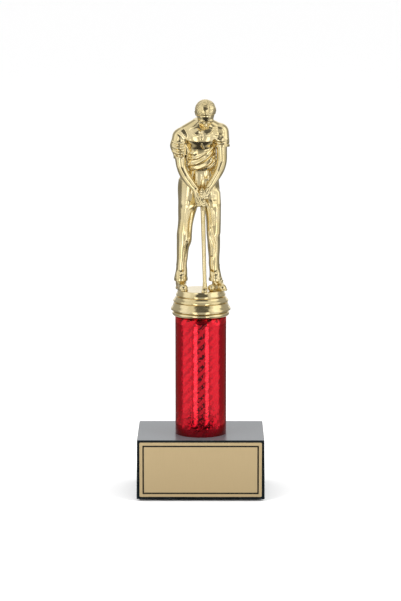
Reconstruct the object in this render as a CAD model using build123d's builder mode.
"""Column trophy: a gilt golfer on a stepped cap, a foil-wrapped column and a black stone base.

Millimetres. +Z is up, the front is -Y, and the origin is under the middle of the trophy,
on the surface that it stands on. The parts hang on one threaded rod along the column's axis.
"""

import os
from math import radians, tan

from build123d import *

os.makedirs("parts", exist_ok=True)

# ---- driving dimensions ----

IN = 25.4

# black stone base
base_w = 3 * IN  # at its top
base_d = 56.7
base_h = 36.0
base_draft = 0.5  # degrees, each side leans in towards the top
base_bevel = 0.35
base_y = 0.31  # centres the base and its plate together on the origin
base_slope = tan(radians(base_draft))

# felt pads under the base
pad_t = 1.2
pad_r = 5.5
pad_inset = 13.0

# engraving plate on the front face
plate_w = 73.2
plate_h = 33.1
plate_t = 0.5
plate_corner = 0.8
plate_z = 19.3  # height of its centre
tape_t = 0.12
tape_margin = 3.0

# column
column_y = -5.2
tube_r = 15.2
tube_wall = 1.5
foil_t = 0.2
base_top = pad_t + base_h
lid_low = 109.4  # underside of the lid's rim
lid_high = 112.2
seat_depth = 1.0  # how far the tube stands up into the lid
plug_h = 5.0
plug_round = 1.0

# lid
lid_r = 17.2
lid_round = 1.3
spigot_low = 104.4
lid_fit = 0.25  # between the spigot and the tube's bore
foil_fit = 0.1  # between the foil and the lid's seat
spigot_r = tube_r - tube_wall - lid_fit

# threaded rod and what it holds, 1/4 inch - 20
rod_r = IN / 8
rod_hole_r = 3.5
rod_chamfer = 0.6
pocket_r = 12.0
pocket_depth = 14.0
washer_r = 9.2
washer_hole_r = 3.55
washer_t = 1.6
lock_washer_r = 6.2
lock_washer_gap = 0.8
lock_washer_skew = 20  # degrees, how its cut leans
nut_flats = 11.1
nut_h = 5.56
nut_corner = 0.35  # its corners stand this far outside the circle of its flats
nut_clearance = 0.05
rod_low = 3.0
rod_high = 120.0

# three-tier cap under the golfer's feet
deck_z = 125.0
deck_r = 14.0
cap_wall = 1.8
deck_t = 2.0
boss_gap = 1.0  # how far the boss and its bore stop short of the deck's top
boss_r = 8.6
insert_z = 113.2  # underside of the captured nut

# golfer, in millimetres above the deck
shell_t = 1.3
stature = 114.6
head_r = 6.55
hem_h = 5.0
shoulder_h = 98.5
stance_x = -1.1  # the middle of the feet
shoe_h = 3.4
ankle_h = 6.0
putter_fit = 0.05  # between the putter's grip and its socket
head_block_h = 2.3  # height of the putter's head
ball_r = 2.15
ball_h = 1.9  # a little under its radius, so that it sits on a flat

axis_line = Axis((0, column_y, 0), (0, 0, 1))
profile_plane = Plane.XZ.offset(-column_y)


def level(z):
    """The horizontal plane at height z, centred on the column."""
    return Plane((0, column_y, z))


def disc(z, height, radius, hole=0.0):
    """Adds a round plate, with or without a round hole, on the column's axis."""
    with BuildSketch(level(z)) as ring:
        Circle(radius)
        if hole:
            Circle(hole, mode=Mode.SUBTRACT)
    extrude(ring.sketch, amount=height)


def bore(z, height, radius):
    """Cuts a round hole on the column's axis, upwards from z."""
    with BuildSketch(level(z)) as circle:
        Circle(radius)
    extrude(circle.sketch, amount=height, mode=Mode.SUBTRACT)


def hexagon(flats):
    """Adds a hexagon of that size across its flats to the sketch."""
    RegularPolygon(flats / 2, 6, major_radius=False)


# ---- base ----

with BuildPart() as marble_base:
    spread = 2 * base_h * base_slope
    with BuildSketch(Plane((0, base_y, pad_t))):
        Rectangle(base_w + spread, base_d + spread)
    extrude(amount=base_h, taper=base_draft)
    chamfer(marble_base.edges(), base_bevel)
    bore(pad_t, base_h, rod_hole_r)
    bore(pad_t, pocket_depth, pocket_r)
marble_base.part.label = "marble_base"
export_step(marble_base.part, "parts/marble_base.step")

with BuildPart() as felt_pads:
    with BuildSketch(Plane((0, base_y, 0))):
        with GridLocations(base_w - 2 * pad_inset, base_d - 2 * pad_inset, 2, 2):
            Circle(pad_r)
    extrude(amount=pad_t)
felt_pads.part.label = "felt_pads"
export_step(felt_pads.part, "parts/felt_pads.step")

# The front face leans back by the draft, and the plate lies flat on it.
front_y = base_y - base_d / 2 - (base_top - plate_z) * base_slope
plate_plane = Plane((0, front_y, plate_z), x_dir=(1, 0, 0), z_dir=(0, -1, base_slope))

with BuildPart() as plate_tape:
    with BuildSketch(plate_plane):
        Rectangle(plate_w - 2 * tape_margin, plate_h - 2 * tape_margin)
    extrude(amount=tape_t)
plate_tape.part.label = "plate_tape"
export_step(plate_tape.part, "parts/plate_tape.step")

with BuildPart() as engraving_plate:
    with BuildSketch(plate_plane.offset(tape_t)):
        RectangleRounded(plate_w, plate_h, plate_corner)
    extrude(amount=plate_t)
engraving_plate.part.label = "engraving_plate"
export_step(engraving_plate.part, "parts/engraving_plate.step")

# ---- column ----

column_top = lid_low + seat_depth

with BuildPart() as column_tube:
    disc(base_top, column_top - base_top, tube_r, tube_r - tube_wall)
column_tube.part.label = "column_tube"
export_step(column_tube.part, "parts/column_tube.step")

with BuildPart() as column_foil:
    disc(base_top, column_top - base_top, tube_r + foil_t, tube_r)
column_foil.part.label = "column_foil"
export_step(column_foil.part, "parts/column_foil.step")

with BuildPart() as centring_plug:
    disc(base_top, plug_h, spigot_r, rod_hole_r)
    fillet(centring_plug.edges().group_by(Axis.Z)[-1].sort_by(SortBy.RADIUS)[-1], plug_round)
centring_plug.part.label = "centring_plug"
export_step(centring_plug.part, "parts/centring_plug.step")

with BuildPart() as column_lid:
    disc(lid_low, lid_high - lid_low, lid_r)
    fillet(column_lid.edges(), lid_round)
    disc(spigot_low, lid_low - spigot_low, spigot_r)
    with BuildSketch(level(lid_low)):
        Circle(tube_r + foil_t + foil_fit)
        Circle(spigot_r, mode=Mode.SUBTRACT)
    extrude(amount=seat_depth, mode=Mode.SUBTRACT)
    bore(spigot_low, column_top - spigot_low, spigot_r - tube_wall)
    bore(column_top, lid_high - column_top, rod_hole_r)
column_lid.part.label = "column_lid"
export_step(column_lid.part, "parts/column_lid.step")

# ---- rod, nuts and washers ----

with BuildPart() as threaded_rod:
    disc(rod_low, rod_high - rod_low, rod_r)
    chamfer(threaded_rod.edges().filter_by(GeomType.CIRCLE), rod_chamfer)
threaded_rod.part.label = "threaded_rod"
export_step(threaded_rod.part, "parts/threaded_rod.step")


def nut(z):
    """Adds a hexagon nut with rounded corners and a plain bore, its underside at z."""
    with BuildSketch(level(z)) as section:
        hexagon(nut_flats)
        Circle(nut_flats / 2 + nut_corner, mode=Mode.INTERSECT)
        Circle(rod_r + nut_clearance, mode=Mode.SUBTRACT)
    extrude(section.sketch, amount=nut_h)


with BuildPart() as insert_nut:
    nut(insert_z)
insert_nut.part.label = "insert_nut"
export_step(insert_nut.part, "parts/insert_nut.step")

pocket_top = pad_t + pocket_depth
flat_washer_z = pocket_top - washer_t
lock_washer_z = flat_washer_z - washer_t
clamp_nut_z = lock_washer_z - nut_h

with BuildPart() as flat_washer:
    disc(flat_washer_z, washer_t, washer_r, washer_hole_r)
flat_washer.part.label = "flat_washer"
export_step(flat_washer.part, "parts/flat_washer.step")

with BuildPart() as lock_washer:
    disc(lock_washer_z, washer_t, lock_washer_r, washer_hole_r)
    with BuildSketch(level(lock_washer_z)):
        with Locations(((lock_washer_r + washer_hole_r) / 2, 0)):
            Rectangle(lock_washer_r - washer_hole_r + 1.2, lock_washer_gap, rotation=lock_washer_skew)
    extrude(amount=washer_t, mode=Mode.SUBTRACT)
lock_washer.part.label = "lock_washer"
export_step(lock_washer.part, "parts/lock_washer.step")

with BuildPart() as clamp_nut:
    nut(clamp_nut_z)
clamp_nut.part.label = "clamp_nut"
export_step(clamp_nut.part, "parts/clamp_nut.step")

# ---- three-tier cap ----

# Each tier flares downwards to a lip, with a groove below it: radius and height.
cap_outline = [
    (deck_r - 0.3, deck_z),
    (deck_r, deck_z - 0.3),
    (deck_r + 0.15, deck_z - 1.0),
    (14.9, 122.7),
    (14.9, 121.9),
    (14.1, 121.7),
    (14.1, 121.2),
    (15.0, 121.1),
    (16.6, 119.1),
    (16.6, 118.3),
    (15.7, 118.1),
    (15.7, 117.5),
    (16.2, 117.3),
    (18.0, 114.0),
    (18.0, 113.1),
    (16.8, 112.9),
    (16.8, lid_high),
]

with BuildPart() as stepped_cap:
    with BuildSketch(profile_plane):
        with BuildLine():
            Polyline((0, deck_z), *cap_outline, (0, lid_high), close=True)
        make_face()
    revolve(axis=axis_line)
    with BuildSketch(profile_plane):
        with BuildLine():
            Polyline(
                (0, deck_z - deck_t),
                (deck_r - cap_wall, deck_z - deck_t),
                (15.0 - cap_wall, 119.5),
                (16.6 - cap_wall, lid_high),
                (0, lid_high),
                close=True,
            )
        make_face()
    revolve(axis=axis_line, mode=Mode.SUBTRACT)
    disc(insert_z, deck_z - boss_gap - insert_z, boss_r)
    with BuildSketch(level(insert_z)):
        hexagon(nut_flats + 2 * nut_clearance)
    extrude(amount=nut_h, mode=Mode.SUBTRACT)
    bore(insert_z, rod_high + boss_gap - insert_z, rod_hole_r)
stepped_cap.part.label = "stepped_cap"
export_step(stepped_cap.part, "parts/stepped_cap.step")

# ---- golfer ----


def at(x, y, h):
    """A point of the golfer: x to its left, y from the column's axis, h above the deck."""
    return Vector(x, column_y + y, deck_z + h)


def stack(sections, inset=0.0):
    """Lofts a body through level ellipses, each (x, y, h, half width, half depth)."""
    slices = []
    for x, y, h, half_w, half_d in sections:
        with BuildSketch(Plane(at(x, y, h))) as ellipse:
            Ellipse(half_w - inset, half_d - inset)
        slices.append(ellipse.sketch)
    loft(slices)


def limb(start, end, start_r, end_r):
    """Adds a tapering round limb with a ball at each end."""
    slices = []
    for point, radius in ((start, start_r), (end, end_r)):
        with BuildSketch(Plane(point, z_dir=end - start)) as circle:
            Circle(radius)
        slices.append(circle.sketch)
        with Locations(point):
            Sphere(radius)
    loft(slices)


def leg(side, low, inset=0.0):
    """One trouser leg up to the hip, side -1 or +1 along X."""
    stack(
        [
            (stance_x + side * 10.4, 3.2, low, 3.6, 4.6),
            (stance_x + side * 9.4, 1.2, 29.0, 4.5, 5.4),
            (stance_x + side * 6.6, 3.4, 56.0, 5.9, 7.4),
            (stance_x + side * 5.2, 3.4, 64.0, 5.0, 6.2),
        ],
        inset,
    )


def trunk(high, inset=0.0):
    """The shirt and the hips under it, leaning forward from the belt."""
    stack(
        [
            (-0.9, 3.8, 56.0, 10.8, 7.4),
            (-0.2, 2.6, 74.0, 10.2, 7.2),
            (0.0, -2.4, 90.0, 12.4, 8.2),
            (0.2, -4.6, high, 12.6, 6.6),
        ],
        inset,
    )


shaft_top = at(1.1, -9.5, 60.0)
shaft_end = at(2.5, -9.0, 1.4)
shaft_top_r = 1.45
shaft_end_r = 1.15

with BuildPart() as golfer:
    trunk(shoulder_h)
    stack([(0.2, -4.6, shoulder_h, 12.6, 6.6), (0.8, -5.6, shoulder_h + 4.0, 6.0, 4.6)])
    for side in (-1, 1):
        leg(side, hem_h)
        # shoe: a flat sole with a rounded upper
        with BuildSketch(Plane(at(stance_x + side * 10.6 + 0.6, 0.4, 0.0))):
            Ellipse(4.0, 7.2)
        extrude(amount=shoe_h, taper=12)
        with BuildSketch(Plane(at(stance_x + side * 10.5, 3.0, 0.0))):
            Ellipse(3.4, 4.0)
        extrude(amount=ankle_h)
    limb(at(-13.0, -4.8, 95.5), at(-12.2, -6.0, 74.5), 4.2, 3.0)
    limb(at(-12.2, -6.0, 74.5), at(-2.8, -9.4, 60.5), 3.0, 1.9)
    limb(at(12.6, -4.8, 96.0), at(12.9, -5.6, 78.5), 4.2, 2.9)
    limb(at(12.9, -5.6, 78.5), at(4.2, -9.0, 61.5), 2.9, 1.9)
    limb(at(0.6, -9.8, 60.0), at(1.1, -9.6, 51.5), 3.3, 2.5)
    limb(at(1.0, -5.4, 99.0), at(2.6, -9.2, 107.0), 3.6, 3.6)
    with Locations(at(2.8, -10.2, stature - head_r)):
        Sphere(head_r)

with BuildPart() as hollow:
    trunk(shoulder_h - 2.0, shell_t)
    for side in (-1, 1):
        leg(side, hem_h + 3.0, shell_t)

# Where the two mouldings meet follows the golfer's own lean: y and height.
parting_line = [(2.0, -1.0), (3.0, 60.0), (1.0, 78.0), (-4.8, 99.0), (-10.0, stature + 2.0)]
parting_y = [column_y + y for y, h in parting_line]
parting_z = [deck_z + h for y, h in parting_line]

with BuildPart() as front_side:
    with BuildSketch(Plane.YZ):
        with BuildLine():
            Polyline(
                *zip(parting_y, parting_z),
                (-60, parting_z[-1]),
                (-60, parting_z[0]),
                close=True,
            )
        make_face()
    extrude(amount=40, both=True)

for name, side_mode in (("golfer_front", Mode.INTERSECT), ("golfer_back", Mode.SUBTRACT)):
    with BuildPart() as half:
        add(golfer.part)
        add(hollow.part, mode=Mode.SUBTRACT)
        # socket for the putter's grip, down through the hands
        for point, radius in ((shaft_top, shaft_top_r), (shaft_end, shaft_end_r)):
            with BuildSketch(Plane(point, z_dir=shaft_end - shaft_top)):
                Circle(radius + putter_fit)
        loft(mode=Mode.SUBTRACT)
        add(front_side.part, mode=side_mode)
    half.part.label = name
    export_step(half.part, f"parts/{name}.step")

with BuildPart() as putter:
    for point, radius in ((shaft_top, shaft_top_r), (shaft_end, shaft_end_r)):
        with BuildSketch(Plane(point, z_dir=shaft_end - shaft_top)):
            Circle(radius)
    loft()
    with BuildSketch(Plane(at(2.3, -9.4, 0.0))):
        RectangleRounded(3.6, 6.6, 1.0)
    extrude(amount=head_block_h)
putter.part.label = "putter"
export_step(putter.part, "parts/putter.step")

with BuildPart() as golf_ball:
    with Locations(at(6.3, -6.6, ball_h)):
        Sphere(ball_r)
    split(bisect_by=Plane(at(0, 0, 0)), keep=Keep.TOP)
golf_ball.part.label = "golf_ball"
export_step(golf_ball.part, "parts/golf_ball.step")
